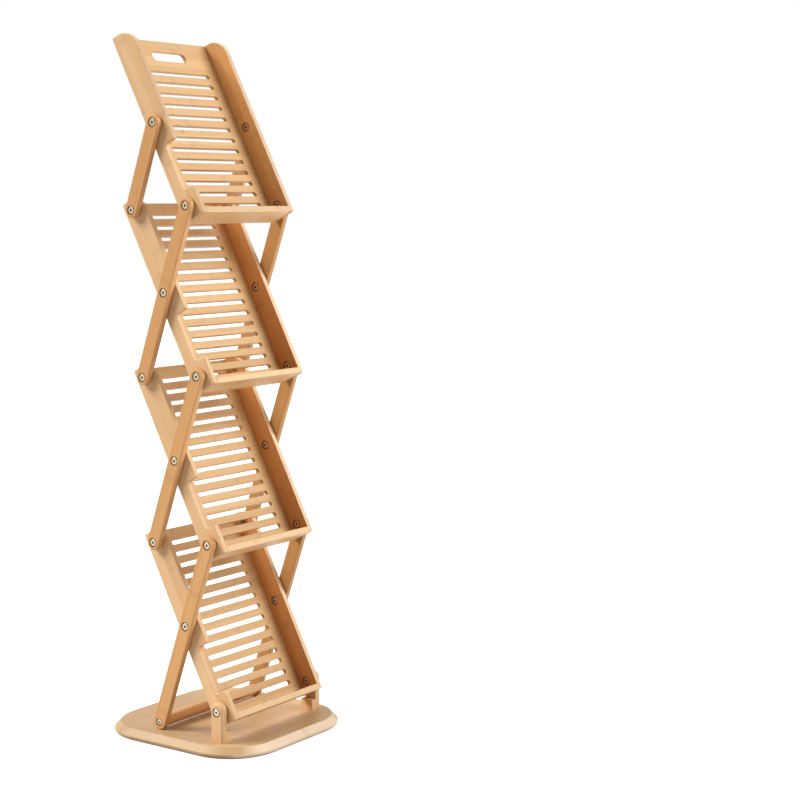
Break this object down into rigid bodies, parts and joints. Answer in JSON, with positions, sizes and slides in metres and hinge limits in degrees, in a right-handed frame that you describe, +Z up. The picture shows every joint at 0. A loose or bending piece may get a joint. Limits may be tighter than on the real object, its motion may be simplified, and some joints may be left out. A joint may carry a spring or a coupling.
{
  "type": "folding magazine rack",
  "caption": "Tall folding magazine rack of bamboo: slotted trays lean on scissor arms in a zig-zag tower over a rounded base board and fold flat into a stack.",
  "frame": {"origin": "middle of the base board's underside", "axes": "+Z up, the trays face -Y, +X to the right of someone facing the trays"},
  "size_m": [0.329, 0.339, 1.2137],
  "materials": {
    "panel_bamboo": "satin lacquered laminated bamboo",
    "tray_bamboo": "satin lacquered laminated bamboo",
    "arm_bamboo": "satin lacquered laminated bamboo",
    "rod_bamboo": "satin lacquered laminated bamboo",
    "base_bamboo": "satin lacquered laminated bamboo",
    "fastener_steel": "plated",
    "washer_nylon": "matt"
  },
  "bodies": {
    "base": {"base_board": "base_bamboo", "left_post": "base_bamboo", "right_post": "base_bamboo", "post_screws": "fastener_steel"},
    "tray_1": {"tray_1_left_rail": "tray_bamboo", "tray_1_right_rail": "tray_bamboo", "tray_1_panel": "panel_bamboo", "tray_1_ledge": "tray_bamboo", "tray_1_sleeve_nuts": "fastener_steel", "tray_1_pivot_bolts": "fastener_steel", "tray_1_washers": "washer_nylon"},
    "arm_pair_1": {"arm_1_left": "arm_bamboo", "arm_1_right": "arm_bamboo", "foot_rod": "rod_bamboo", "rod_screws": "fastener_steel"},
    "tray_2": {"tray_2_left_rail": "tray_bamboo", "tray_2_right_rail": "tray_bamboo", "tray_2_panel": "panel_bamboo", "tray_2_ledge": "tray_bamboo", "tray_2_sleeve_nuts": "fastener_steel", "tray_2_pivot_bolts": "fastener_steel", "tray_2_washers": "washer_nylon"},
    "arm_pair_2": {"arm_2_left": "arm_bamboo", "arm_2_right": "arm_bamboo"},
    "tray_3": {"tray_3_left_rail": "tray_bamboo", "tray_3_right_rail": "tray_bamboo", "tray_3_panel": "panel_bamboo", "tray_3_ledge": "tray_bamboo", "tray_3_sleeve_nuts": "fastener_steel", "tray_3_pivot_bolts": "fastener_steel", "tray_3_washers": "washer_nylon"},
    "arm_pair_3": {"arm_3_left": "arm_bamboo", "arm_3_right": "arm_bamboo"},
    "tray_4": {"tray_4_left_rail": "tray_bamboo", "tray_4_right_rail": "tray_bamboo", "tray_4_panel": "panel_bamboo", "tray_4_ledge": "tray_bamboo", "tray_4_sleeve_nuts": "fastener_steel", "tray_4_pivot_bolts": "fastener_steel", "tray_4_washers": "washer_nylon"},
    "arm_pair_4": {"arm_4_left": "arm_bamboo", "arm_4_right": "arm_bamboo"}
  },
  "joints": [
    {"name": "fold", "type": "hinge", "parent": "base", "child": "tray_1", "pos_m": [0, -0.0925, 0.072], "axis": [-1, 0, 0], "range_deg": [0, 54.2]},
    {"name": "arm_1_turn", "type": "hinge", "parent": "tray_1", "child": "arm_pair_1", "pos_m": [0, -0.02165, 0.20986], "axis": [1, 0, 0], "range_deg": [0, 115.9]},
    {"name": "tray_2_turn", "type": "hinge", "parent": "arm_pair_1", "child": "tray_2", "pos_m": [0, -0.07314, 0.35606], "axis": [-1, 0, 0], "range_deg": [0, 115.9]},
    {"name": "arm_2_turn", "type": "hinge", "parent": "tray_2", "child": "arm_pair_2", "pos_m": [0, -0.00229, 0.49392], "axis": [1, 0, 0], "range_deg": [0, 115.9]},
    {"name": "tray_3_turn", "type": "hinge", "parent": "arm_pair_2", "child": "tray_3", "pos_m": [0, -0.05377, 0.64012], "axis": [-1, 0, 0], "range_deg": [0, 115.9]},
    {"name": "arm_3_turn", "type": "hinge", "parent": "tray_3", "child": "arm_pair_3", "pos_m": [0, 0.01708, 0.77798], "axis": [1, 0, 0], "range_deg": [0, 115.9]},
    {"name": "tray_4_turn", "type": "hinge", "parent": "arm_pair_3", "child": "tray_4", "pos_m": [0, -0.0344, 0.92418], "axis": [-1, 0, 0], "range_deg": [0, 115.9]},
    {"name": "arm_4_turn", "type": "hinge", "parent": "tray_4", "child": "arm_pair_4", "pos_m": [0, 0.03645, 1.06204], "axis": [1, 0, 0], "range_deg": [0, 115.9]}
  ],
  "couplings": [
    {"joint": "arm_1_turn", "follows": "fold", "ratio": 2.13},
    {"joint": "tray_2_turn", "follows": "fold", "ratio": 2.13},
    {"joint": "arm_2_turn", "follows": "fold", "ratio": 2.13},
    {"joint": "tray_3_turn", "follows": "fold", "ratio": 2.13},
    {"joint": "arm_3_turn", "follows": "fold", "ratio": 2.13},
    {"joint": "tray_4_turn", "follows": "fold", "ratio": 2.13},
    {"joint": "arm_4_turn", "follows": "fold", "ratio": 2.13}
  ]
}
